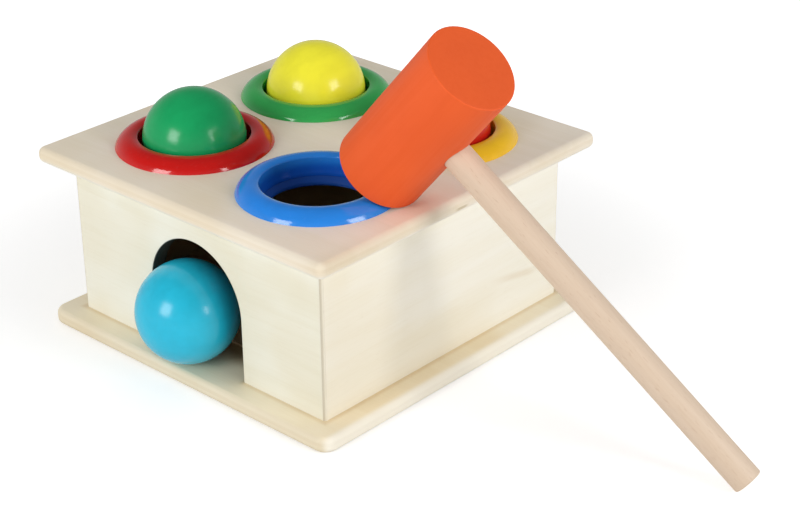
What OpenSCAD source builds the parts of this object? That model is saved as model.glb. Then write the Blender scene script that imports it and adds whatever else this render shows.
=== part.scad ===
// Ball pounding toy: a wooden box with four ring holes, painted balls and a mallet.
// Millimetres, +Z up. The origin is the centre of the base's underside.
// The wall with the arch faces -Y. The mallet leans on the box towards +X.

/* [Balls] */
// Diameter of each turned wooden ball
ball_d = 38; // [34:0.5:44]
// Height of a held ball's centre above the top board
ball_rise = 1.8; // [0.5:0.1:3]
// Sideways place of the ball that has rolled out, from the middle of the arch
out_ball_x = -3.6; // [-3.6:0.1:3.6]
// How far that ball's centre stands in front of the arch wall
out_ball_y = 0.8; // [0:0.1:4]

/* [Rings] */
// Gap between a ball and the hard bore of its ring
bore_gap = 0.6; // [0.4:0.1:1.2]
// How far the bore opens out towards its mouth
bore_flare = 0.9; // [0.5:0.1:2]
// Depth of the flared mouth below the top board's face
flare_h = 2; // [1:0.25:2.5]
// Width of the domed rim that lies on the board
rim_w = 8.5; // [7.5:0.25:10]
// Height of the rim's crest above the board
rim_h = 4.3; // [3:0.1:5]
// Distance of the crest from the rim's outer edge
rim_rise = 6; // [5.5:0.25:7]
// Thickness of the sleeve that goes through the board
sleeve_wall = 2.9; // [2.5:0.1:4]
// Plastic left in the sleeve under the lip's groove
sleeve_foot = 1; // [0.8:0.1:4]
// Chamfer round the sleeve's lower end
sleeve_chamfer = 0.6; // [0.4:0.1:1.2]
// Gap between two neighbouring rims
ring_gap = 5; // [3:0.5:8]

/* [Grip lips] */
// How much smaller the lip's bore is than the ball
lip_bite = 2; // [1.75:0.25:4]
// Thickness of the lip where the groove holds it
lip_t = 2.6; // [2:0.1:3]
// Depth of the groove in the sleeve
groove_d = 1.6; // [1:0.1:2]
// Thickness of the lip at its free edge
lip_edge = 1; // [0.6:0.1:1.6]
// Drop of the lip's upper face from the groove to its free edge
lip_fall = 1.8; // [1:0.1:2]

/* [Boards] */
// Thickness of the base and of the top board
board_t = 6; // [5:0.5:9]
// Overhang of both boards beyond the walls
overhang = 9.5; // [6:0.5:13]
// Corner radius of the base, seen from above
base_corner_r = 5.5; // [3:0.5:9]
// Corner radius of the top board, seen from above
top_corner_r = 3; // [2.5:0.5:6]
// Radius of the rounded edges of the base
base_edge_r = 2; // [0.5:0.1:2.4]
// Radius of the rounded edges of the top board
top_edge_r = 2.4; // [0.5:0.1:2.4]

/* [Walls] */
// Thickness of the four walls
wall_t = 6; // [5:0.5:9]
// Room between a ring's sleeve and the nearest wall
sleeve_room = 3; // [2:0.5:8]
// Width of the small flat on each mitred corner
corner_flat = 1.2; // [0.6:0.1:2]
// Arch width beyond one ball
arch_room_w = 8; // [7:0.5:10]
// Arch height beyond one ball
arch_room_h = 9.5; // [6:0.5:12]
// Wood left above the arch
arch_head = 12.5; // [9:0.5:20]

/* [Sloping floor] */
// Thickness of the ramp board
ramp_t = 4; // [3:0.5:5]
// Slope of the ramp in degrees
ramp_slope = 10; // [8:0.5:11]
// Flat part of the base behind the arch wall
ramp_foot = 11; // [10:0.5:16]
// Height of the blunt front edge of the ramp
ramp_nose = 0.8; // [0.6:0.1:1.2]
// Width of each bearer under the ramp
bearer_w = 8; // [6:0.5:12]
// Height of a bearer's front end
bearer_nose = 2; // [1.5:0.1:3]
// Length of a guide block along the side wall
block_leg = 16; // [12:0.5:16]
// Wall left between a guide block and the arch
block_back = 1; // [0.5:0.5:3]
// Height of a guide block
block_h = 24; // [16:0.5:28]

/* [Mallet] */
// Diameter of the mallet's head
head_d = 32.5; // [28:0.5:38]
// Length of the mallet's head
head_l = 60; // [50:0.5:70]
// Radius of the eased ends of the head
head_edge_r = 0.5; // [0.4:0.1:2]
// Diameter of the handle
handle_d = 10.5; // [9:0.5:14]
// Reach of the handle from the head's axis to its far end
handle_reach = 158; // [140:0.5:180]
// Radius of the eased far end of the handle
handle_edge_r = 0.6; // [0.4:0.1:1]
// Depth of the glued hole in the head
socket_h = 22; // [16:0.5:24]
// Compass turn of the leaning mallet, in degrees from +X
lean_turn = 11; // [5:0.5:18]
// Roll of the mallet about its handle, in degrees
lean_roll = 5.8; // [2:0.2:9]
// Distance of the head's foot from the empty ring's rim
foot_off = 4.7; // [4.5:0.1:7]
// Direction of the head's foot from the empty ring, in degrees
foot_turn = 20.2; // [18:0.2:28]

/* [Fits] */
// Gap between a loose piece and what it rests on
seat_gap = 0.3; // [0.2:0.05:0.5]
// Gap between a ring's sleeve and its hole, all round
hole_gap = 0.15; // [0.1:0.05:0.25]
// Gap of a glued or clipped joint
glue_gap = 0.1; // [0.05:0.05:0.15]

/* [Hidden] */
$fn = 96;
ball_r = ball_d / 2;
bore_r = ball_r + bore_gap;
mouth_r = bore_r + bore_flare;
ring_r = mouth_r + rim_w;
// The rim's section is a slice of a circle whose centre lies below the board's face
dome_drop = (pow(rim_rise, 2) - pow(rim_h, 2)) / (2 * rim_h);
dome_r = rim_h + dome_drop;
sleeve_r = bore_r + sleeve_wall;
lip_r = (ball_d - lip_bite) / 2;
ring_at = ring_r + ring_gap / 2;
inside = ring_at + sleeve_r + sleeve_room;
outside = inside + wall_t;
board_w = 2 * (outside + overhang);
arch_w = ball_d + arch_room_w;
arch_h = ball_d + arch_room_h;
wall_h = arch_h + arch_head;
top_under = board_t + wall_h;
top_z = top_under + board_t;
// The free edge of a lip stands one seat gap below the ball that it holds
lip_z = ball_rise - sqrt(pow(ball_r + seat_gap, 2) - pow(lip_r, 2));
groove_z = lip_z + lip_fall;
sleeve_h = lip_t + glue_gap + sleeve_foot - groove_z;
ramp_y = ramp_foot - inside;
ramp_back = inside - glue_gap;
bearer_y = ramp_y + (ramp_t / cos(ramp_slope) + bearer_nose) / tan(ramp_slope);
block_tip = arch_w / 2 + block_back;
block_room = seat_gap / cos(atan2(block_leg, inside - block_tip));
head_r = head_d / 2;
handle_r = handle_d / 2;
// The mallet stands on the head's lower rim and on the handle's far end
head_foot_l = head_l / 2 - head_edge_r;
head_foot_r = head_r - head_edge_r;
end_l = handle_reach - handle_edge_r;
end_r = handle_r - handle_edge_r;
lean_a = end_l - head_foot_r;
lean_b = end_r - head_foot_l * cos(lean_roll);
lean_c = top_z + head_edge_r - handle_edge_r;
function lean_for(rise) = asin(rise / sqrt(pow(lean_a, 2) + pow(lean_b, 2))) - atan2(lean_b, lean_a);
function tilt_sine(lean) = sqrt(1 - pow(cos(lean_roll) * cos(lean), 2));
lean_first = lean_for(lean_c);
lean_next = lean_for(lean_c + head_foot_r * (tilt_sine(lean_first) - sin(lean_first)));
lean = lean_for(lean_c + head_foot_r * (tilt_sine(lean_next) - sin(lean_next)));
axis_x = cos(lean_roll) * sin(lean) * cos(lean_turn) + sin(lean_roll) * sin(lean_turn);
axis_y = cos(lean_roll) * sin(lean) * sin(lean_turn) - sin(lean_roll) * cos(lean_turn);
axis_z = cos(lean_roll) * cos(lean);
foot_x = ring_at + (ring_r + foot_off) * cos(foot_turn);
foot_y = -ring_at + (ring_r + foot_off) * sin(foot_turn);
foot_back = head_foot_l - head_foot_r * axis_z / tilt_sine(lean);
mallet_x = foot_x + axis_x * foot_back;
mallet_y = foot_y + axis_y * foot_back;
mallet_z = seat_gap + end_l * sin(lean) + end_r * cos(lean) + handle_edge_r;

wood = [0.92, 0.88, 0.79];
board_wood = [0.82, 0.78, 0.70];
dowel_wood = [0.89, 0.78, 0.67];
red = [0.78, 0.12, 0.10];
green = [0.16, 0.62, 0.34];
blue = [0.18, 0.52, 0.86];
yellow = [0.91, 0.75, 0.18];
lemon = [0.94, 0.90, 0.22];
sky = [0.20, 0.72, 0.86];
orange = [0.94, 0.40, 0.20];

// Rectangle with round corners, centred
module round_rect(w, h, r) {
  square([w - 2 * r, h], center = true);
  square([w, h - 2 * r], center = true);
  for (x = [-1, 1], y = [-1, 1]) {
    translate([x * (w / 2 - r), y * (h / 2 - r)])
      circle(r);
  }
}

// Square panel with round corners and eased edges, standing on z = 0
module panel(corner_r, edge_r) {
  intersection() {
    linear_extrude(board_t)
      round_rect(board_w, board_w, corner_r);
    translate([0, board_w / 2 + 1, board_t / 2])
      rotate([90, 0, 0])
        linear_extrude(board_w + 2)
          round_rect(board_w, board_t, edge_r);
    translate([-board_w / 2 - 1, 0, board_t / 2])
      rotate([90, 0, 90])
        linear_extrude(board_w + 2)
          round_rect(board_w, board_t, edge_r);
  }
}

// One mitred wall with its outer face at y = -outside
module plain_wall() {
  half = outside - corner_flat / sqrt(2);
  tip = outside - corner_flat / sqrt(8);
  translate([0, 0, board_t])
    linear_extrude(wall_h)
      polygon([
        [-half, -outside], [half, -outside], [tip, -tip],
        [inside, -inside], [-inside, -inside], [-tip, -tip]
      ]);
}

// Outline of the round-headed arch, standing on y = 0
module arch_outline() {
  translate([-arch_w / 2, -1])
    square([arch_w, arch_h - arch_w / 2 + 1]);
  translate([0, arch_h - arch_w / 2])
    circle(arch_w / 2);
}

// Height of the ramp's upper face at y
function ramp_top(y) = board_t + ramp_nose + (y - ramp_y) * tan(ramp_slope);
// Height of the ramp's underside at y
function ramp_under(y) = ramp_top(y) - ramp_nose - ramp_t / cos(ramp_slope);

// Domed rim that lies on the board
module ring_rim() {
  rotate_extrude()
    intersection() {
      translate([ring_r - rim_rise, -dome_drop])
        circle(dome_r);
      translate([mouth_r, 0])
        square([rim_w + 1, rim_h + 1]);
    }
}

// Sleeve with a flared mouth, which goes down through the board and runs up into the rim
module ring_sleeve() {
  rotate_extrude()
    polygon([
      [mouth_r, 0], [sleeve_r, rim_h / 4],
      [sleeve_r, sleeve_chamfer - sleeve_h], [sleeve_r - sleeve_chamfer, -sleeve_h],
      [bore_r, -sleeve_h], [bore_r, -flare_h]
    ]);
}

// One ring, with the groove for its lip cut into the sleeve
module ring() {
  groove_h = lip_t + 2 * glue_gap;
  translate([0, 0, top_z])
    difference() {
      union() {
        ring_rim();
        ring_sleeve();
      }
      translate([0, 0, groove_z + glue_gap - groove_h])
        cylinder(h = groove_h, r = bore_r + groove_d);
    }
}

// Soft lip: held in the ring's groove, thinner towards its free edge
module grip_lip() {
  held_r = bore_r + groove_d - glue_gap;
  translate([0, 0, top_z])
    rotate_extrude()
      polygon([
        [held_r, groove_z], [bore_r, groove_z], [lip_r, lip_z],
        [lip_r, lip_z - lip_edge], [bore_r, groove_z - lip_t], [held_r, groove_z - lip_t]
      ]);
}

module held_ball() {
  translate([0, 0, top_z + ball_rise])
    sphere(ball_r);
}

module at_ring(x, y) {
  translate([x * ring_at, y * ring_at, 0])
    children();
}

// Triangle in a front corner that turns a rolling ball towards the arch
module guide_outline() {
  polygon([[inside, -inside], [inside, block_leg - inside], [block_tip, -inside]]);
}

module guide_block() {
  translate([0, 0, board_t])
    linear_extrude(block_h)
      guide_outline();
}

// Wedge under one side of the ramp, glued to the right-hand wall
module ramp_bearer() {
  translate([inside - bearer_w, 0, 0])
    rotate([90, 0, 90])
      linear_extrude(bearer_w)
        polygon([
          [bearer_y, board_t], [inside, board_t],
          [inside, ramp_under(inside) - glue_gap], [bearer_y, ramp_under(bearer_y) - glue_gap]
        ]);
}

// The mallet is drawn with its handle along +X and its head along Z, then leaned on the box
module lean_on_box() {
  translate([mallet_x, mallet_y, mallet_z])
    rotate([0, 0, lean_turn])
      rotate([0, lean, 0])
        rotate([lean_roll, 0, 0])
          children();
}

module base_board() {
  color(wood)
    panel(base_corner_r, base_edge_r);
}

module front_wall() {
  color(wood)
    difference() {
      plain_wall();
      translate([0, -inside + 1, board_t])
        rotate([90, 0, 0])
          linear_extrude(wall_t + 2)
            arch_outline();
    }
}

module back_wall() {
  color(wood)
    rotate([0, 0, 180])
      plain_wall();
}

module left_wall() {
  color(wood)
    rotate([0, 0, -90])
      plain_wall();
}

module right_wall() {
  color(wood)
    rotate([0, 0, 90])
      plain_wall();
}

module ramp_bearer_left() {
  color(wood)
    mirror([1, 0, 0])
      ramp_bearer();
}

module ramp_bearer_right() {
  color(wood)
    ramp_bearer();
}

// Sloping floor: its front corners are clipped beside the guide blocks
module ramp_board() {
  half = inside - seat_gap;
  color(board_wood)
    difference() {
      translate([-half, 0, 0])
        rotate([90, 0, 90])
          linear_extrude(2 * half)
            polygon([
              [ramp_y, board_t], [ramp_y, board_t + ramp_nose],
              [ramp_back, ramp_top(ramp_back)], [ramp_back, ramp_under(ramp_back)],
              [ramp_y + ramp_t / sin(ramp_slope), board_t]
            ]);
      for (side = [0, 1]) {
        mirror([side, 0, 0])
          translate([0, block_room, 0])
            linear_extrude(top_z)
              guide_outline();
      }
    }
}

module guide_block_left() {
  color(wood)
    mirror([1, 0, 0])
      guide_block();
}

module guide_block_right() {
  color(wood)
    guide_block();
}

module top_board() {
  color(board_wood)
    difference() {
      translate([0, 0, top_under])
        panel(top_corner_r, top_edge_r);
      for (x = [-1, 1], y = [-1, 1]) {
        at_ring(x, y)
          translate([0, 0, top_under - 1])
            cylinder(h = board_t + 2, r = sleeve_r + hole_gap);
      }
    }
}

module ring_red() {
  color(red)
    at_ring(-1, -1)
      ring();
}

module ring_green() {
  color(green)
    at_ring(-1, 1)
      ring();
}

module ring_blue() {
  color(blue)
    at_ring(1, -1)
      ring();
}

module ring_yellow() {
  color(yellow)
    at_ring(1, 1)
      ring();
}

module grip_lip_red() {
  color(red)
    at_ring(-1, -1)
      grip_lip();
}

module grip_lip_green() {
  color(green)
    at_ring(-1, 1)
      grip_lip();
}

module grip_lip_blue() {
  color(blue)
    at_ring(1, -1)
      grip_lip();
}

module grip_lip_yellow() {
  color(yellow)
    at_ring(1, 1)
      grip_lip();
}

module ball_green() {
  color(green)
    at_ring(-1, -1)
      held_ball();
}

module ball_yellow() {
  color(lemon)
    at_ring(-1, 1)
      held_ball();
}

module ball_red() {
  color(red)
    at_ring(1, 1)
      held_ball();
}

// The ball that has rolled out stands on the base, in the arch
module ball_blue() {
  color(sky)
    translate([out_ball_x, -outside - out_ball_y, board_t + seat_gap + ball_r])
      sphere(ball_r);
}

module hammer_head() {
  color(orange)
    lean_on_box()
      difference() {
        rotate_extrude()
          intersection() {
            round_rect(head_d, head_l, head_edge_r);
            translate([0, -head_l])
              square([head_d, 2 * head_l]);
          }
        rotate([0, 90, 0])
          translate([0, 0, head_r - socket_h])
            cylinder(h = socket_h + 1, r = handle_r + glue_gap);
      }
}

module hammer_handle() {
  handle_l = handle_reach - head_r + socket_h - glue_gap;
  color(dowel_wood)
    lean_on_box()
      rotate([0, 90, 0])
        translate([0, 0, handle_reach - handle_l / 2])
          rotate_extrude()
            intersection() {
              round_rect(handle_d, handle_l, handle_edge_r);
              translate([0, -handle_l])
                square([handle_d, 2 * handle_l]);
            }
}

base_board();
front_wall();
back_wall();
left_wall();
right_wall();
ramp_bearer_left();
ramp_bearer_right();
ramp_board();
guide_block_left();
guide_block_right();
top_board();
ring_red();
ring_green();
ring_blue();
ring_yellow();
grip_lip_red();
grip_lip_green();
grip_lip_blue();
grip_lip_yellow();
ball_green();
ball_yellow();
ball_red();
ball_blue();
hammer_head();
hammer_handle();
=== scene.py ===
import math
import bmesh
import bpy
from mathutils import Matrix, Vector


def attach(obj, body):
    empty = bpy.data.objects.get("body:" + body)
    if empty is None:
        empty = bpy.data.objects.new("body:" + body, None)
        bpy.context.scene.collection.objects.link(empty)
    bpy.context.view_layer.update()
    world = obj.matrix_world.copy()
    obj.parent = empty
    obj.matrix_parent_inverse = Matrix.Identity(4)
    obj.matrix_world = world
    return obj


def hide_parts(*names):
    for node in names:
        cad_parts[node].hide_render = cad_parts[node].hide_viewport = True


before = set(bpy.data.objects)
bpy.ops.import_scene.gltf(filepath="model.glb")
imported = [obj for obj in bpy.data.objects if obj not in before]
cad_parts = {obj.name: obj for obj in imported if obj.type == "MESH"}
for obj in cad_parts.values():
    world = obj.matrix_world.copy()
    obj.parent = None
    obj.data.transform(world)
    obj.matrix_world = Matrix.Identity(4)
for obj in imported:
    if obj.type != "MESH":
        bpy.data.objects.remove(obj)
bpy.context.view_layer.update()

bpy.context.scene.view_settings.view_transform = "Standard"

# Base board.
# A square of 6 mm plywood with round corners and sanded edges, the floor of the box.
# The four walls stand on it 9.5 mm in from its edges and are glued down.
board_half = 0.0725
board_t = 0.006
base_corner_r = 0.0055
base_edge_r = 0.002
touch = 1e-6
crease = math.radians(38)


def screen(red, green, blue):
    """A colour as a screen shows it, 0 to 255, turned into the linear colour that a shader takes."""
    shown = [c / 255 for c in (red, green, blue)]
    return tuple(c / 12.92 if c < 0.04 else ((c + 0.055) / 1.055) ** 2.4 for c in shown) + (1.0,)


def feed(tree, socket, value):
    """Links another node's output to a socket, or sets the socket."""
    if isinstance(value, bpy.types.NodeSocket):
        tree.links.new(value, socket)
    else:
        socket.default_value = value


def reckon(tree, how, first, second=0.0):
    """One step of arithmetic."""
    step = tree.nodes.new("ShaderNodeMath")
    step.operation = how
    feed(tree, step.inputs[0], first)
    feed(tree, step.inputs[1], second)
    return step.outputs[0]


def ranged(tree, value, low, high, to_low, to_high):
    """Eases a value from one range into another and holds it at the ends."""
    step = tree.nodes.new("ShaderNodeMapRange")
    step.interpolation_type = "SMOOTHSTEP"
    feed(tree, step.inputs["Value"], value)
    feed(tree, step.inputs["From Min"], low)
    feed(tree, step.inputs["From Max"], high)
    feed(tree, step.inputs["To Min"], to_low)
    feed(tree, step.inputs["To Max"], to_high)
    return step.outputs["Result"]


def mixed(tree, how, amount, under, over):
    """One colour laid over another."""
    step = tree.nodes.new("ShaderNodeMix")
    step.data_type = "RGBA"
    step.blend_type = how
    feed(tree, step.inputs[0], amount)
    feed(tree, step.inputs[6], under)
    feed(tree, step.inputs[7], over)
    return step.outputs[2]


def mottle(tree, place, stretch, detail=2.0, twist=0.0):
    """Noise with so many grains to the metre along each axis."""
    fit = tree.nodes.new("ShaderNodeMapping")
    fit.inputs["Scale"].default_value = stretch
    tree.links.new(place, fit.inputs["Vector"])
    noise = tree.nodes.new("ShaderNodeTexNoise")
    noise.inputs["Scale"].default_value = 1.0
    noise.inputs["Detail"].default_value = detail
    noise.inputs["Distortion"].default_value = twist
    tree.links.new(fit.outputs["Vector"], noise.inputs["Vector"])
    return noise.outputs["Fac"]


def raised(tree, height, depth):
    """Turns a pattern into relief of that depth in metres."""
    bump = tree.nodes.new("ShaderNodeBump")
    bump.inputs["Strength"].default_value = 1.0
    bump.inputs["Distance"].default_value = depth
    tree.links.new(height, bump.inputs["Height"])
    tree.links.new(bump.outputs["Normal"], tree.nodes["Principled BSDF"].inputs["Normal"])


def recolour(finish, how, amount, over):
    """Lays one more colour over what a finish already has."""
    tree = finish.node_tree
    colour = tree.nodes["Principled BSDF"].inputs["Base Color"]
    tree.links.new(mixed(tree, how, amount, colour.links[0].from_socket, over), colour)


def object_axes(finish):
    """The x, y and z of a point on a piece, for patterns that keep to its edges."""
    tree = finish.node_tree
    axes = tree.nodes.new("ShaderNodeSeparateXYZ")
    tree.links.new(tree.nodes["Texture Coordinate"].outputs["Object"], axes.inputs[0])
    return axes.outputs


def outwards(tree, x, y):
    """How far a point lies from the middle of the box, along x or y, whichever is more."""
    return reckon(tree, "MAXIMUM", reckon(tree, "ABSOLUTE", x), reckon(tree, "ABSOLUTE", y))


def ply_finish(name, pale, warm, along, through, start):
    """Sanded plywood: quiet grain along one axis, fine fibres, and five plies where it is cut across."""
    finish = bpy.data.materials.new(name)
    finish.use_nodes = True
    tree = finish.node_tree
    shader = tree.nodes["Principled BSDF"]
    place = tree.nodes.new("ShaderNodeTexCoord").outputs["Object"]
    bands = mottle(tree, place, [7 if axis == along else 80 for axis in "XYZ"], 2.0, 0.7)
    fibres = mottle(tree, place, [70 if axis == along else 1500 for axis in "XYZ"], 3.0, 0.2)
    flecks = mottle(tree, place, [260 if axis == along else 2600 for axis in "XYZ"], 1.0)
    clouds = mottle(tree, place, [22, 22, 22], 2.0)
    colour = mixed(tree, "MIX", ranged(tree, bands, 0.36, 0.68, 0.0, 1.0), pale, warm)
    dulled = ranged(tree, fibres, 0.46, 0.74, 0.0, 0.09)
    colour = mixed(tree, "MULTIPLY", dulled, colour, screen(236, 228, 214))
    flecked = ranged(tree, flecks, 0.70, 0.78, 0.0, 0.10)
    colour = mixed(tree, "MULTIPLY", flecked, colour, screen(206, 186, 158))
    clouded = ranged(tree, clouds, 0.40, 0.66, 0.0, 0.7)
    colour = mixed(tree, "MULTIPLY", clouded, colour, screen(247, 242, 231))
    axes = tree.nodes.new("ShaderNodeSeparateXYZ")
    tree.links.new(place, axes.inputs[0])
    facing = tree.nodes.new("ShaderNodeSeparateXYZ")
    tree.links.new(tree.nodes.new("ShaderNodeNewGeometry").outputs["True Normal"], facing.inputs[0])
    into = reckon(tree, "SUBTRACT", axes.outputs["XYZ".index(through)], start)
    ply = reckon(tree, "PINGPONG", reckon(tree, "DIVIDE", into, board_t / 2.5), 0.5)
    cross_ply = ranged(tree, ply, 0.22, 0.30, 0.0, 1.0)
    squarely = reckon(tree, "ABSOLUTE", facing.outputs["XYZ".index(through)])
    cut = reckon(tree, "MULTIPLY", cross_ply, ranged(tree, squarely, 0.25, 0.7, 0.10, 0.0))
    colour = mixed(tree, "MULTIPLY", cut, colour, screen(222, 202, 168))
    tree.links.new(colour, shader.inputs["Base Color"])
    tree.links.new(ranged(tree, fibres, 0.30, 0.70, 0.46, 0.60), shader.inputs["Roughness"])
    raised(tree, fibres, 0.00002)
    return finish


def eased(bm, edges, radius, steps):
    """Rounds these edges over."""
    bmesh.ops.bevel(bm, geom=edges, offset=radius, segments=steps, profile=0.5, affect="EDGES", material=-1)


def square_panel(bm, middle, corner, edge):
    """A square board at that height, with its upright corners and then its other edges rounded."""
    bmesh.ops.create_cube(bm, size=1.0)
    bmesh.ops.scale(bm, vec=(2 * board_half, 2 * board_half, board_t), verts=bm.verts)
    bmesh.ops.translate(bm, vec=(0, 0, middle), verts=bm.verts)
    eased(bm, [e for e in bm.edges if abs(e.verts[0].co.z - e.verts[1].co.z) > touch], corner, 8)
    sides = {f for f in bm.faces if abs(f.normal.z) < 0.1}
    level = [e for e in bm.edges if abs(e.verts[0].co.z - e.verts[1].co.z) < touch]
    eased(bm, [e for e in level if sides & set(e.link_faces)], edge, 6)


def piece_of(bm, name, finish):
    """Makes a finished shape into an object: flat faces stay flat and rounded ones shade round."""
    bmesh.ops.remove_doubles(bm, verts=bm.verts, dist=touch)
    bmesh.ops.recalc_face_normals(bm, faces=bm.faces)
    mesh = bpy.data.meshes.new(name)
    bm.to_mesh(mesh)
    bm.free()
    mesh.shade_smooth()
    mesh.set_sharp_from_angle(angle=crease)
    mesh.materials.append(finish)
    piece = bpy.data.objects.new(name, mesh)
    bpy.context.scene.collection.objects.link(piece)
    piece.modifiers.new("flat faces stay flat", "WEIGHTED_NORMAL").keep_sharp = True
    return piece


bm = bmesh.new()
square_panel(bm, board_t / 2, base_corner_r, base_edge_r)
base_ply = ply_finish("base_ply", screen(244, 233, 207), screen(240, 227, 198), "X", "Z", 0.0)
tree = base_ply.node_tree
x, y, z = object_axes(base_ply)
out = outwards(tree, x, y)
# Painted shade darkens the board beside the walls' feet, but not in the arch.
beside_arch = ranged(tree, reckon(tree, "ABSOLUTE", x), 0.021, 0.023, 0.0, 1.0)
painted_foot_shade = reckon(tree, "MAXIMUM", beside_arch, ranged(tree, y, 0.0, 0.01, 0.0, 1.0))
painted_foot_shade = reckon(tree, "MULTIPLY", painted_foot_shade, ranged(tree, out, 0.0634, 0.0655, 0.45, 0.0))
recolour(base_ply, "MULTIPLY", painted_foot_shade, screen(226, 206, 170))
# Inside the walls it is darkened as painted shade, and its sanded edges have painted light on the right and
# painted shade in front.
recolour(base_ply, "MULTIPLY", ranged(tree, out, 0.0490, 0.0580, 0.9, 0.0), screen(168, 144, 108))
recolour(base_ply, "MIX", ranged(tree, x, 0.0690, 0.0718, 0.0, 0.7), screen(245, 241, 229))
recolour(base_ply, "MULTIPLY", ranged(tree, y, -0.0720, -0.0702, 0.7, 0.0), screen(236, 234, 232))
base_panel = piece_of(bm, "base_panel", base_ply)
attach(base_panel, "box")
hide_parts("base_board")

# Four walls.
# 6 mm plywood, 60 mm high, mitred at the corners and glued to the base and to each other.
# The front one has a round-headed arch, sawn out and sanded, where the balls come out.
wall_out = 0.063
wall_in = 0.057
wall_foot = 0.006
wall_head = 0.066
corner_flat = 0.0012
corner_cut = corner_flat / math.sqrt(2)
arch_half = 0.023
arch_spring = 0.0305
arch_edge_r = 0.0005


def drawn_on(bm, last, *points):
    """Carries a line of vertices on through these points and gives back the last of them."""
    for point in points:
        last = bmesh.ops.extrude_vert_indiv(bm, verts=[last])["verts"][0]
        last.co = point
    return last


def swung_on(bm, last, centre, axis, angle, steps):
    """Carries a line of vertices on round an arc and gives back the last of them."""
    turned = bmesh.ops.spin(bm, geom=[last], cent=centre, axis=axis, angle=angle, steps=steps)
    return [v for v in turned["geom_last"] if isinstance(v, bmesh.types.BMVert)][0]


def mitred_wall(arched):
    """A wall that faces -Y, with mitred ends and a small flat on each outer corner."""
    bm = bmesh.new()
    face = -wall_out
    end = wall_out - corner_cut
    first = bm.verts.new((-end, face, wall_foot))
    last = drawn_on(bm, first, (-end, face, wall_head), (end, face, wall_head), (end, face, wall_foot))
    if arched:
        last = drawn_on(bm, last, (arch_half, face, wall_foot), (arch_half, face, arch_spring))
        last = swung_on(bm, last, (0, face, arch_spring), (0, -1, 0), math.pi, 48)
        last = drawn_on(bm, last, (-arch_half, face, wall_foot))
    bm.edges.new((last, first))
    front = bmesh.ops.contextual_create(bm, geom=bm.edges[:])["faces"]
    for depth, half in ((corner_cut / 2, wall_out - corner_cut / 2), (wall_out - wall_in, wall_in)):
        rim = [e for f in front for e in f.edges]
        grown = bmesh.ops.extrude_face_region(bm, geom=front + rim)["geom"]
        front = [f for f in grown if isinstance(f, bmesh.types.BMFace)]
        for v in {v for f in front for v in f.verts}:
            v.co.y = depth - wall_out
            if abs(v.co.x) > arch_half + touch:
                v.co.x = math.copysign(half, v.co.x)
    if arched:
        bmesh.ops.recalc_face_normals(bm, faces=bm.faces)
        sawn = {v for v in bm.verts if abs(v.co.y - face) < touch and abs(v.co.x) < arch_half + touch}
        eased(bm, [e for e in bm.edges if sawn.issuperset(e.verts)], arch_edge_r, 3)
    return bm


def mitre_seam_and_shade(finish):
    """The mitre at each corner: the small flat is greyer than the faces, and darker again towards the front
    and back faces as painted shade.
    """
    tree = finish.node_tree
    x, y, z = object_axes(finish)
    x = reckon(tree, "ABSOLUTE", x)
    y = reckon(tree, "ABSOLUTE", y)
    on_flat = ranged(tree, reckon(tree, "ADD", x, y), 0.12485, 0.12505, 0.0, 1.0)
    painted_seam_shade = ranged(tree, reckon(tree, "SUBTRACT", x, y), -0.0003, 0.0005, 0.9, 0.35)
    recolour(finish, "MIX", reckon(tree, "MULTIPLY", on_flat, painted_seam_shade), screen(196, 186, 166))


def shade_inside(finish):
    """The inner faces are darkened as painted shade for the inside of the closed box."""
    tree = finish.node_tree
    x, y, z = object_axes(finish)
    inner = ranged(tree, outwards(tree, x, y), wall_in, wall_in + 0.0005, 0.9, 0.0)
    recolour(finish, "MULTIPLY", inner, screen(178, 154, 118))


def slanting(tree, across, up):
    """Length of a slanting line that runs so far across and so far up."""
    squares = reckon(tree, "ADD", reckon(tree, "MULTIPLY", across, across), reckon(tree, "MULTIPLY", up, up))
    return reckon(tree, "SQRT", squares)


front_ply = ply_finish("front_ply", screen(237, 235, 221), screen(233, 230, 213), "X", "Y", -wall_out)
mitre_seam_and_shade(front_ply)
shade_inside(front_ply)
# The sawn edge of the arch is dark.
tree = front_ply.node_tree
x, y, z = object_axes(front_ply)
rise = reckon(tree, "MAXIMUM", reckon(tree, "SUBTRACT", z, arch_spring), 0.0)
sawn_edge = ranged(tree, slanting(tree, x, rise), arch_half + 0.0001, arch_half + 0.0004, 0.95, 0.0)
recolour(front_ply, "MIX", sawn_edge, screen(50, 40, 28))
arch_wall = piece_of(mitred_wall(True), "arch_wall", front_ply)
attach(arch_wall, "box")
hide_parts("front_wall")

back_ply = ply_finish("back_ply", screen(241, 236, 220), screen(237, 230, 211), "X", "Y", wall_in)
mitre_seam_and_shade(back_ply)
shade_inside(back_ply)
bm = mitred_wall(False)
bmesh.ops.rotate(bm, cent=(0, 0, 0), matrix=Matrix.Rotation(math.pi, 3, "Z"), verts=bm.verts)
back_panel = piece_of(bm, "back_panel", back_ply)
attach(back_panel, "box")
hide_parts("back_wall")

left_ply = ply_finish("left_ply", screen(241, 236, 220), screen(237, 230, 211), "Y", "X", -wall_out)
mitre_seam_and_shade(left_ply)
shade_inside(left_ply)
bm = mitred_wall(False)
bmesh.ops.rotate(bm, cent=(0, 0, 0), matrix=Matrix.Rotation(-math.pi / 2, 3, "Z"), verts=bm.verts)
left_panel = piece_of(bm, "left_panel", left_ply)
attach(left_panel, "box")
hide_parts("left_wall")

# The right wall's plywood is set a little paler than the other walls' as painted light.
right_ply = ply_finish("right_ply", screen(244, 240, 227), screen(242, 237, 221), "Y", "X", wall_in)
mitre_seam_and_shade(right_ply)
shade_inside(right_ply)
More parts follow.
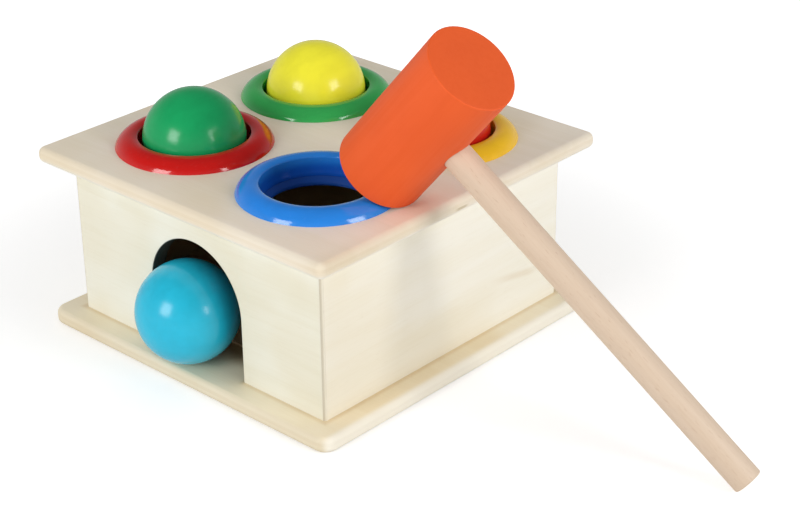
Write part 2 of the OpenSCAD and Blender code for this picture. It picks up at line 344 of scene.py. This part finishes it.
# One brown streak runs with the grain in the wall's far half.
tree = right_ply.node_tree
x, y, z = object_axes(right_ply)
slant = reckon(tree, "ADD", reckon(tree, "SUBTRACT", z, 0.029), reckon(tree, "DIVIDE", y, 6.0))
streak = ranged(tree, reckon(tree, "ABSOLUTE", slant), 0.0003, 0.0022, 0.3, 0.0)
streak = reckon(tree, "MULTIPLY", streak, ranged(tree, y, 0.022, 0.038, 0.0, 1.0))
streak = reckon(tree, "MULTIPLY", streak, ranged(tree, y, 0.044, 0.054, 1.0, 0.0))
recolour(right_ply, "MULTIPLY", streak, screen(222, 202, 170))
bm = mitred_wall(False)
bmesh.ops.rotate(bm, cent=(0, 0, 0), matrix=Matrix.Rotation(math.pi / 2, 3, "Z"), verts=bm.verts)
right_panel = piece_of(bm, "right_panel", right_ply)
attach(right_panel, "box")
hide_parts("right_wall")

# Sloping floor and guide blocks.
# A thin plywood ramp on two wedges brings a dropped ball forwards, and a three-cornered block in
# each front corner turns it to the arch. All are glued in before the top goes on.
ramp_pitch = math.radians(10)
ramp_half = 0.0567
ramp_front = -0.046
ramp_back = 0.0569
ramp_nose = 0.0008
ramp_t = 0.004
ramp_upright_t = ramp_t / math.cos(ramp_pitch)
wedge_t = 0.008
wedge_front = -0.01162
wedge_drop = 0.0009
guide_h = 0.024
guide_side = 0.016
guide_front = 0.033
guide_clear_y = -0.040666


def ramp_top(y):
    """Height of the ramp's upper face."""
    return wall_foot + ramp_nose + (y - ramp_front) * math.tan(ramp_pitch)


def wedge_top(y):
    """Height of a wedge's upper face, a hair under the ramp."""
    return ramp_top(y) - wedge_drop - ramp_upright_t


def pushed(bm, outline, move):
    """Closes an outline into a face and pushes it out into a solid."""
    first = bm.verts.new(outline[0])
    last = drawn_on(bm, first, *outline[1:])
    bm.edges.new((last, first))
    face = bmesh.ops.contextual_create(bm, geom=bm.edges[:])["faces"]
    grown = bmesh.ops.extrude_face_region(bm, geom=face)["geom"]
    bmesh.ops.translate(bm, vec=move, verts=[v for v in grown if isinstance(v, bmesh.types.BMVert)])
    bmesh.ops.recalc_face_normals(bm, faces=bm.faces)


# The ramp's plywood is coloured darker than the box's outer plywood as painted shade inside the box.
inner_ply = ply_finish("inner_ply", screen(182, 158, 124), screen(170, 144, 110), "Y", "Z", wall_foot)
bm = bmesh.new()
ramp_outline = [(-ramp_half, ramp_front, wall_foot),
                (-ramp_half, ramp_front, ramp_top(ramp_front)),
                (-ramp_half, ramp_back, ramp_top(ramp_back)),
                (-ramp_half, ramp_back, ramp_top(ramp_back) - ramp_nose - ramp_upright_t),
                (-ramp_half, ramp_front + ramp_t / math.sin(ramp_pitch), wall_foot)]
pushed(bm, ramp_outline, (2 * ramp_half, 0, 0))
for side in (1, -1):
    across_guide = Vector((side * guide_side, -guide_front, 0)).normalized()
    bmesh.ops.bisect_plane(bm, geom=bm.verts[:] + bm.edges[:] + bm.faces[:], dist=1e-7, clear_outer=True,
                           plane_co=(side * wall_in, guide_clear_y, 0), plane_no=across_guide)
    bmesh.ops.holes_fill(bm, edges=[e for e in bm.edges if e.is_boundary], sides=0)
ramp = piece_of(bm, "ramp", inner_ply)
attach(ramp, "box")
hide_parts("ramp_board")

wedge_ply = ply_finish("wedge_ply", screen(176, 154, 122), screen(160, 136, 104), "Y", "X", wall_in)
for side, word in ((-1, "left"), (1, "right")):
    x = side * wall_in
    bm = bmesh.new()
    wedge_outline = [(x, wedge_front, wall_foot), (x, wall_in, wall_foot),
                     (x, wall_in, wedge_top(wall_in)), (x, wedge_front, wedge_top(wedge_front))]
    pushed(bm, wedge_outline, (-side * wedge_t, 0, 0))
    wedge = piece_of(bm, "ramp_wedge_" + word, wedge_ply)
    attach(wedge, "box")
    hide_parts("ramp_bearer_" + word)
    bm = bmesh.new()
    guide_outline = [(x, -wall_in, wall_foot), (x, guide_side - wall_in, wall_foot),
                     (side * (wall_in - guide_front), -wall_in, wall_foot)]
    pushed(bm, guide_outline, (0, 0, guide_h))
    block = piece_of(bm, "corner_block_" + word, wedge_ply)
    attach(block, "box")
    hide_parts("guide_block_" + word)

# Top board.
# The same plywood as the base with crisper edges, bored for the four rings and glued on to the walls.
# Its rounded edges carry painted shade along the top and painted light underneath.
top_z = 0.072
top_corner_r = 0.003
top_edge_r = 0.0024
ring_at = 0.0315
hole_r = 0.02265
bm = bmesh.new()
square_panel(bm, top_z - board_t / 2, top_corner_r, top_edge_r)
bm.normal_update()
bmesh.ops.delete(bm, geom=[f for f in bm.faces if abs(f.normal.z) > 0.999], context="FACES_ONLY")
for x in (-ring_at, ring_at):
    for y in (-ring_at, ring_at):
        around = []
        for z in (top_z - board_t, top_z):
            made = bmesh.ops.create_circle(bm, cap_ends=False, radius=hole_r, segments=96,
                                           matrix=Matrix.Translation((x, y, z)))
            around += {e for v in made["verts"] for e in v.link_edges}
        bmesh.ops.bridge_loops(bm, edges=around)
for z in (top_z - board_t, top_z):
    rims = [e for e in bm.edges if e.is_boundary and abs(e.verts[0].co.z - z) < touch]
    bmesh.ops.triangle_fill(bm, use_beauty=True, edges=rims, normal=(0, 0, 1))
top_ply = ply_finish("top_ply", screen(243, 233, 216), screen(239, 228, 208), "X", "Z", top_z - board_t)
tree = top_ply.node_tree
x, y, z = object_axes(top_ply)
# The sanded edges carry painted shade above and painted light below, and the right one has a short dark
# dash.
painted_edge_shade = ranged(tree, outwards(tree, x, y), 0.0700, 0.0722, 0.0, 0.6)
recolour(top_ply, "MULTIPLY", painted_edge_shade, screen(242, 239, 232))
recolour(top_ply, "MIX", ranged(tree, z, 0.0665, 0.0685, 0.8, 0.0), screen(250, 247, 238))
dash = ranged(tree, reckon(tree, "ABSOLUTE", reckon(tree, "SUBTRACT", z, 0.0682)), 0.0003, 0.0007, 0.7, 0.0)
dash = reckon(tree, "MULTIPLY", dash, ranged(tree, x, 0.0715, 0.0720, 0.0, 1.0))
from_middle = reckon(tree, "ABSOLUTE", reckon(tree, "ADD", y, 0.0033))
dash = reckon(tree, "MULTIPLY", dash, ranged(tree, from_middle, 0.0012, 0.0040, 1.0, 0.0))
recolour(top_ply, "MULTIPLY", dash, screen(206, 196, 170))
top_panel = piece_of(bm, "top_panel", top_ply)
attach(top_panel, "box")
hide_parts("top_board")

# Rings.
# Glossy moulded plastic: a domed rim that lies on the board, a rounded mouth, and a sleeve pressed
# down through the hole, with a groove inside it for the soft lip.
rim_out = 0.029
rim_mid = 0.023
dome_drop = 0.002036
dome_from = math.radians(18.74)
dome_to = math.radians(107.88)
mouth_r = 0.0205
mouth_round = 0.0008
mouth_up = 0.003233
flare_h = 0.0020
bore_r = 0.0196
groove_r = 0.0212
groove_top = 0.06874
groove_foot = 0.06594
sleeve_r = 0.0225
sleeve_foot = 0.06494
sleeve_ease = 0.0006


def dimmed(colour, share):
    """The same colour with only a share of its light."""
    return tuple(share * c for c in colour[:3]) + (1.0,)


def centred(tree, centre, turn=(0.0, 0.0, 0.0)):
    """A point measured from a piece's own centre and along its own axes."""
    fit = tree.nodes.new("ShaderNodeMapping")
    fit.vector_type = "TEXTURE"
    fit.inputs["Location"].default_value = centre
    fit.inputs["Rotation"].default_value = turn
    tree.links.new(tree.nodes.new("ShaderNodeTexCoord").outputs["Object"], fit.inputs["Vector"])
    return fit.outputs["Vector"]


def moulded_finish(name, colour, centre, gloss):
    """Moulded plastic: an even colour with slight flow marks and fine scuffs, and painted shade deepening
    down the bore.
    """
    finish = bpy.data.materials.new(name)
    finish.use_nodes = True
    tree = finish.node_tree
    shader = tree.nodes["Principled BSDF"]
    place = centred(tree, centre)
    flow = mottle(tree, place, (60, 60, 140), 3.0, 1.2)
    scuffs = mottle(tree, place, (900, 240, 900), 2.0, 0.4)
    grain = mottle(tree, place, (1400, 1400, 1400), 1.0)
    flowed = ranged(tree, flow, 0.35, 0.70, 0.0, 0.5)
    shade = mixed(tree, "MULTIPLY", flowed, colour, screen(238, 236, 236))
    scuffed = ranged(tree, scuffs, 0.62, 0.80, 0.0, 0.02)
    shade = mixed(tree, "SCREEN", scuffed, shade, screen(235, 235, 235))
    axes = tree.nodes.new("ShaderNodeSeparateXYZ")
    tree.links.new(place, axes.inputs[0])
    x, y, z = axes.outputs
    # Painted shade: the bore darkens towards its foot into a deeper tone of its own colour.
    painted_bore_shade = ranged(tree, z, -0.0010, 0.0036, 0.75, 0.0)
    painted_bore_shade = reckon(tree, "MULTIPLY", painted_bore_shade, ranged(tree, slanting(tree, x, y), 0.0206, 0.0212, 1.0, 0.0))
    shade = mixed(tree, "MULTIPLY", painted_bore_shade, shade, dimmed(colour, 0.62))
    tree.links.new(shade, shader.inputs["Base Color"])
    tree.links.new(ranged(tree, scuffs, 0.40, 0.75, gloss, gloss + 0.05), shader.inputs["Roughness"])
    shader.inputs["IOR"].default_value = 1.57
    raised(tree, grain, 0.0000015)
    return finish


def spun(bm, steps):
    """Turns a line of vertices all the way round the Z axis."""
    bmesh.ops.spin(bm, geom=bm.verts[:] + bm.edges[:], cent=(0, 0, 0), axis=(0, 0, 1),
                   angle=2 * math.pi, steps=steps, use_merge=True)


rings = {
    "red": (-ring_at, -ring_at, screen(202, 22, 18)),
    "green": (-ring_at, ring_at, screen(54, 172, 86)),
    "blue": (ring_at, -ring_at, screen(40, 134, 228)),
    "yellow": (ring_at, ring_at, screen(244, 194, 36)),
}
for word, (x, y, colour) in rings.items():
    bm = bmesh.new()
    first = bm.verts.new((rim_out, 0, top_z))
    last = swung_on(bm, first, (rim_mid, 0, top_z - dome_drop), (0, -1, 0), dome_to - dome_from, 22)
    last = swung_on(bm, last, (mouth_r + mouth_round, 0, top_z + mouth_up), (0, -1, 0), math.pi - dome_to, 6)
    last = drawn_on(bm, last, (mouth_r, 0, top_z), (bore_r, 0, top_z - flare_h))
    last = drawn_on(bm, last, (bore_r, 0, groove_top), (groove_r, 0, groove_top))
    last = drawn_on(bm, last, (groove_r, 0, groove_foot), (bore_r, 0, groove_foot))
    last = drawn_on(bm, last, (bore_r, 0, sleeve_foot), (sleeve_r - sleeve_ease, 0, sleeve_foot))
    last = drawn_on(bm, last, (sleeve_r, 0, sleeve_foot + sleeve_ease), (sleeve_r, 0, top_z))
    bm.edges.new((last, first))
    spun(bm, 144)
    bmesh.ops.translate(bm, vec=(x, y, 0), verts=bm.verts)
    ring = piece_of(bm, word + "_rim", moulded_finish(word + "_plastic", colour, (x, y, top_z), 0.12))
    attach(ring, "box")
    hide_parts("ring_" + word)

# Grip lips.
# The soft inner edge of each ring, thin enough to let a ball through when it is struck.
# It is moulded with the ring in the same colour, which is dimmed here as painted shade, and thins towards
# its free edge.
held_r = 0.0211
lip_r = 0.018
lip_ease = 0.00025
lip_top = 0.06864
lip_foot = 0.06604
lip_edge = ((lip_r + lip_ease, 0.06712), (lip_r, 0.06670), (lip_r, 0.06604), (lip_r + lip_ease, 0.06587))
for word, (x, y, colour) in rings.items():
    bm = bmesh.new()
    first = bm.verts.new((held_r, 0, lip_top))
    last = drawn_on(bm, first, (bore_r, 0, lip_top), *[(r, 0, z) for r, z in lip_edge])
    last = drawn_on(bm, last, (bore_r, 0, lip_foot), (held_r, 0, lip_foot))
    bm.edges.new((last, first))
    spun(bm, 120)
    bmesh.ops.translate(bm, vec=(x, y, 0), verts=bm.verts)
    # The lip takes the ring's colour dimmed, as painted shade down in the bore.
    soft_plastic = moulded_finish(word + "_soft_plastic", dimmed(colour, 0.8), (x, y, top_z), 0.5)
    soft_plastic.node_tree.nodes["Principled BSDF"].inputs["Specular IOR Level"].default_value = 0.15
    lip = piece_of(bm, word + "_lip", soft_plastic)
    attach(lip, "box")
    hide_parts("grip_lip_" + word)

# Balls.
# Turned beech, 38 mm across, dipped in gloss lacquer, with a small dent at each pole, where the lathe
# held it. Three are held in rings, and the blue one has rolled out into the arch.
ball_r = 0.019
ball_held_z = 0.0738
dent_r = 0.0004
dent_rim = ball_r - 0.00025
dent_floor = ball_r - 0.0003
dent_angle = 0.045


def lacquer_finish(name, colour, centre):
    """Gloss lacquer on wood: a trace of grain under the colour, soft sags in the coat and rub marks."""
    finish = bpy.data.materials.new(name)
    finish.use_nodes = True
    tree = finish.node_tree
    shader = tree.nodes["Principled BSDF"]
    place = centred(tree, centre)
    grain = mottle(tree, place, (420, 60, 420), 3.0, 0.5)
    sags = mottle(tree, place, (130, 130, 130), 2.0)
    rubs = mottle(tree, place, (1500, 500, 900), 2.0, 0.6)
    grained = ranged(tree, grain, 0.40, 0.72, 0.0, 0.2)
    shade = mixed(tree, "MULTIPLY", grained, colour, screen(240, 238, 236))
    sagged = ranged(tree, sags, 0.40, 0.65, 0.0, 0.4)
    shade = mixed(tree, "MULTIPLY", sagged, shade, screen(244, 244, 244))
    tree.links.new(shade, shader.inputs["Base Color"])
    tree.links.new(ranged(tree, rubs, 0.45, 0.75, 0.20, 0.24), shader.inputs["Roughness"])
    shader.inputs["IOR"].default_value = 1.45
    raised(tree, sags, 0.000008)
    return finish


balls = {
    "green": (-ring_at, -ring_at, ball_held_z, screen(22, 164, 96), -47.5),
    "yellow": (-ring_at, ring_at, ball_held_z, screen(249, 241, 58), -47.5),
    "red": (ring_at, ring_at, ball_held_z, screen(200, 30, 22), -47.5),
    "blue": (-0.0036, -0.0638, 0.0253, screen(36, 186, 218), 42.5),
}
for word, (x, y, z, colour, turn) in balls.items():
    bm = bmesh.new()
    first = bm.verts.new((0, 0, dent_floor))
    by_pole = (ball_r * math.sin(dent_angle), 0, ball_r * math.cos(dent_angle))
    last = drawn_on(bm, first, (dent_r, 0, dent_rim), by_pole)
    last = swung_on(bm, last, (0, 0, 0), (0, 1, 0), math.pi - 2 * dent_angle, 56)
    drawn_on(bm, last, (dent_r, 0, -dent_rim), (0, 0, -dent_floor))
    spun(bm, 112)
    lying = Matrix.Rotation(math.radians(turn), 3, "Z") @ Matrix.Rotation(math.pi / 2, 3, "Y")
    bmesh.ops.rotate(bm, cent=(0, 0, 0), matrix=lying, verts=bm.verts)
    bmesh.ops.translate(bm, vec=(x, y, z), verts=bm.verts)
    ball = piece_of(bm, word + "_turned_ball", lacquer_finish(word + "_lacquer", colour, (x, y, z)))
    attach(ball, word + "_ball")
    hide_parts("ball_" + word)

# Mallet head.
# Turned from one block of beech, drilled into its side for the handle and sprayed with satin orange paint.
# It stands on its lower rim on the top board, beside the empty ring.
head_r = 0.01625
head_half = 0.030
head_edge_r = 0.0005
head_end_ring_r = 0.010
socket_r = 0.00535
socket_end = -0.00575
drill_l = 0.030
lean_on_box = (math.radians(5.8), math.radians(39.9277), math.radians(11))
mallet_at = Vector((0.070178, -0.0196164, 0.105488))
mallet_place = (Matrix.Translation(mallet_at) @ Matrix.Rotation(lean_on_box[2], 4, "Z")
                @ Matrix.Rotation(lean_on_box[1], 4, "Y") @ Matrix.Rotation(lean_on_box[0], 4, "X"))


def drilled(bm, bit):
    """Takes one solid out of another and gives back what is left."""
    solids = []
    for word, shape in (("blank", bm), ("bit", bit)):
        bmesh.ops.remove_doubles(shape, verts=shape.verts, dist=touch)
        bmesh.ops.recalc_face_normals(shape, faces=shape.faces)
        mesh = bpy.data.meshes.new(word)
        shape.to_mesh(mesh)
        shape.free()
        solids.append(bpy.data.objects.new(word, mesh))
        bpy.context.scene.collection.objects.link(solids[-1])
    cut = solids[0].modifiers.new("drilling", "BOOLEAN")
    cut.operation = "DIFFERENCE"
    cut.solver = "EXACT"
    cut.object = solids[1]
    left = bmesh.new()
    left.from_object(solids[0], bpy.context.evaluated_depsgraph_get())
    for solid in solids:
        bpy.data.meshes.remove(solid.data)
    return left


satin_orange = bpy.data.materials.new("satin_orange")
satin_orange.use_nodes = True
tree = satin_orange.node_tree
shader = tree.nodes["Principled BSDF"]
place = centred(tree, mallet_at, lean_on_box)
grain = mottle(tree, place, (520, 520, 26), 3.0, 0.4)
spray = mottle(tree, place, (1700, 1700, 1700), 1.0)
cloud = mottle(tree, place, (45, 45, 30), 2.0)
grained = ranged(tree, grain, 0.42, 0.72, 0.0, 0.12)
shade = mixed(tree, "MULTIPLY", grained, screen(234, 93, 34), screen(240, 232, 228))
clouded = ranged(tree, cloud, 0.40, 0.66, 0.0, 0.5)
shade = mixed(tree, "MULTIPLY", clouded, shade, screen(246, 240, 238))
tree.links.new(shade, shader.inputs["Base Color"])
tree.links.new(ranged(tree, grain, 0.35, 0.70, 0.52, 0.62), shader.inputs["Roughness"])
shader.inputs["Specular IOR Level"].default_value = 0.3
raised(tree, spray, 0.000012)

bm = bmesh.new()
first = bm.verts.new((0, 0, head_half))
turning_r = head_r - head_edge_r
turning_half = head_half - head_edge_r
last = drawn_on(bm, first, (head_end_ring_r, 0, head_half), (turning_r, 0, head_half))
last = swung_on(bm, last, (turning_r, 0, turning_half), (0, 1, 0), math.pi / 2, 7)
last = drawn_on(bm, last, (head_r, 0, -turning_half))
last = swung_on(bm, last, (turning_r, 0, -turning_half), (0, 1, 0), math.pi / 2, 7)
drawn_on(bm, last, (head_end_ring_r, 0, -head_half), (0, 0, -head_half))
spun(bm, 160)
bit = bmesh.new()
bit_place = Matrix.Translation((socket_end + drill_l / 2, 0, 0)) @ Matrix.Rotation(math.pi / 2, 4, "Y")
bmesh.ops.create_cone(bit, cap_ends=True, segments=72, radius1=socket_r, radius2=socket_r, depth=drill_l,
                      matrix=bit_place)
bm = drilled(bm, bit)
bmesh.ops.transform(bm, matrix=mallet_place, verts=bm.verts)
mallet_head = piece_of(bm, "mallet_head", satin_orange)
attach(mallet_head, "mallet")
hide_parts("hammer_head")

# Mallet handle.
# A bare beech dowel, sanded smooth and glued 22 mm deep into the head. Its ends are cut square, with the
# edges just broken. Beech shows short brown flecks along its grain.
handle_r = 0.00525
handle_far = 0.158
handle_near = -0.00565
handle_edge_r = 0.0006
handle_end_ring_r = 0.003
handle_middle = 0.08
beech = bpy.data.materials.new("sanded_beech")
beech.use_nodes = True
tree = beech.node_tree
shader = tree.nodes["Principled BSDF"]
place = centred(tree, mallet_at, lean_on_box)
bands = mottle(tree, place, (9, 210, 210), 3.0, 0.6)
fibres = mottle(tree, place, (120, 2400, 2400), 2.0, 0.2)
flecks = mottle(tree, place, (330, 2300, 2300), 1.0)
banded = ranged(tree, bands, 0.36, 0.68, 0.0, 1.0)
shade = mixed(tree, "MIX", banded, screen(217, 195, 172), screen(213, 190, 166))
dulled = ranged(tree, fibres, 0.48, 0.75, 0.0, 0.16)
shade = mixed(tree, "MULTIPLY", dulled, shade, screen(230, 216, 198))
flecked = ranged(tree, flecks, 0.66, 0.74, 0.0, 0.25)
shade = mixed(tree, "MULTIPLY", flecked, shade, screen(196, 160, 124))
tree.links.new(shade, shader.inputs["Base Color"])
tree.links.new(ranged(tree, fibres, 0.30, 0.70, 0.48, 0.62), shader.inputs["Roughness"])
raised(tree, fibres, 0.00005)

bm = bmesh.new()
first = bm.verts.new((0, 0, handle_far))
turning_r = handle_r - handle_edge_r
last = drawn_on(bm, first, (handle_end_ring_r, 0, handle_far), (turning_r, 0, handle_far))
last = swung_on(bm, last, (turning_r, 0, handle_far - handle_edge_r), (0, 1, 0), math.pi / 2, 5)
last = drawn_on(bm, last, (handle_r, 0, handle_middle), (handle_r, 0, handle_near + handle_edge_r))
last = swung_on(bm, last, (turning_r, 0, handle_near + handle_edge_r), (0, 1, 0), math.pi / 2, 5)
drawn_on(bm, last, (handle_end_ring_r, 0, handle_near), (0, 0, handle_near))
spun(bm, 72)
bmesh.ops.rotate(bm, cent=(0, 0, 0), matrix=Matrix.Rotation(math.pi / 2, 3, "Y"), verts=bm.verts)
bmesh.ops.transform(bm, matrix=mallet_place, verts=bm.verts)
dowel = piece_of(bm, "mallet_dowel", beech)
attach(dowel, "mallet")
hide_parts("hammer_handle")

# Studio floor.
# A plain white table top. What the camera sees of it is lifted to white, more so away from the toy, so that
# the toy's faint shadow stays on it.
table_half = 4.0
paper = bpy.data.materials.new("white_table")
paper.use_nodes = True
tree = paper.node_tree
shader = tree.nodes["Principled BSDF"]
shader.inputs["Base Color"].default_value = (0.80, 0.80, 0.80, 1.0)
shader.inputs["Roughness"].default_value = 0.9
shader.inputs["Emission Color"].default_value = (1.0, 1.0, 1.0, 1.0)
rays = tree.nodes.new("ShaderNodeLightPath")
spot = tree.nodes.new("ShaderNodeVectorMath")
spot.operation = "LENGTH"
tree.links.new(tree.nodes.new("ShaderNodeTexCoord").outputs["Object"], spot.inputs[0])
lift = ranged(tree, spot.outputs["Value"], 0.10, 0.28, 0.36, 0.70)
lift = reckon(tree, "MULTIPLY", rays.outputs["Is Camera Ray"], lift)
tree.links.new(lift, shader.inputs["Emission Strength"])
bm = bmesh.new()
bmesh.ops.create_grid(bm, x_segments=4, y_segments=4, size=table_half)
mesh = bpy.data.meshes.new("table_top")
bm.to_mesh(mesh)
bm.free()
mesh.materials.append(paper)
table_top = bpy.data.objects.new("table_top", mesh)
bpy.context.scene.collection.objects.link(table_top)

# Studio light.
# A white tent all round, dimmer overhead and on the right, with two small softboxes that give the highlights
# and the mallet's faint shadow. Glossy surfaces see a darker tent, as they do between its panels.
room = bpy.data.worlds.new("white_tent")
room.use_nodes = True
tree = room.node_tree
rays = tree.nodes.new("ShaderNodeLightPath")
mirrored = reckon(tree, "MAXIMUM", rays.outputs["Is Glossy Ray"], rays.outputs["Is Transmission Ray"])
look = tree.nodes.new("ShaderNodeSeparateXYZ")
tree.links.new(tree.nodes.new("ShaderNodeTexCoord").outputs["Generated"], look.inputs[0])
x, y, z = look.outputs
cloth = ranged(tree, z, 0.15, 0.85, 0.98, 0.42)
cloth = reckon(tree, "MULTIPLY", cloth, ranged(tree, x, 0.1, 0.8, 1.0, 0.86))
level = mixed(tree, "MIX", mirrored, cloth, ranged(tree, z, 0.0, 0.7, 0.46, 0.08))
level = reckon(tree, "MAXIMUM", rays.outputs["Is Camera Ray"], level)
tree.nodes["Background"].inputs["Color"].default_value = (1.0, 1.0, 1.0, 1.0)
tree.links.new(level, tree.nodes["Background"].inputs["Strength"])
bpy.context.scene.world = room

aim = Vector((0, 0, 0.05))
lamp_far = 0.95
softboxes = {
    "left_softbox": (-93.8, 21.5, 0.36, 0.38, 3.2),
    "right_softbox": (4.5, 23.1, 0.34, 0.38, 3.1),
}
for word, (turn, rise, width, height, watts) in softboxes.items():
    lamp = bpy.data.lights.new(word, "AREA")
    lamp.shape = "RECTANGLE"
    lamp.size = width
    lamp.size_y = height
    lamp.energy = watts
    stand = bpy.data.objects.new(word, lamp)
    turn = math.radians(turn)
    rise = math.radians(rise)
    toward = Vector((math.cos(rise) * math.cos(turn), math.cos(rise) * math.sin(turn), math.sin(rise)))
    stand.location = aim + lamp_far * toward
    stand.rotation_euler = (aim - stand.location).to_track_quat("-Z", "Y").to_euler()
    bpy.context.scene.collection.objects.link(stand)

# Camera.
# A long lens a little above the toy, looking at the corner between the arch wall and the right wall.
camera_at = (0.459846, -0.457617, 0.351516)
camera_turn = math.radians(42.5077)
camera_tilt = math.radians(90 - 26.9084)
camera_roll = math.radians(-0.5452)
lens = bpy.data.cameras.new("long_lens")
lens.sensor_fit = "HORIZONTAL"
lens.sensor_width = 36.0
lens.lens = 86.767
camera = bpy.data.objects.new("camera", lens)
camera.matrix_world = (Matrix.Translation(camera_at) @ Matrix.Rotation(camera_turn, 4, "Z")
                       @ Matrix.Rotation(camera_tilt, 4, "X") @ Matrix.Rotation(camera_roll, 4, "Z"))
bpy.context.scene.collection.objects.link(camera)
bpy.context.scene.camera = camera
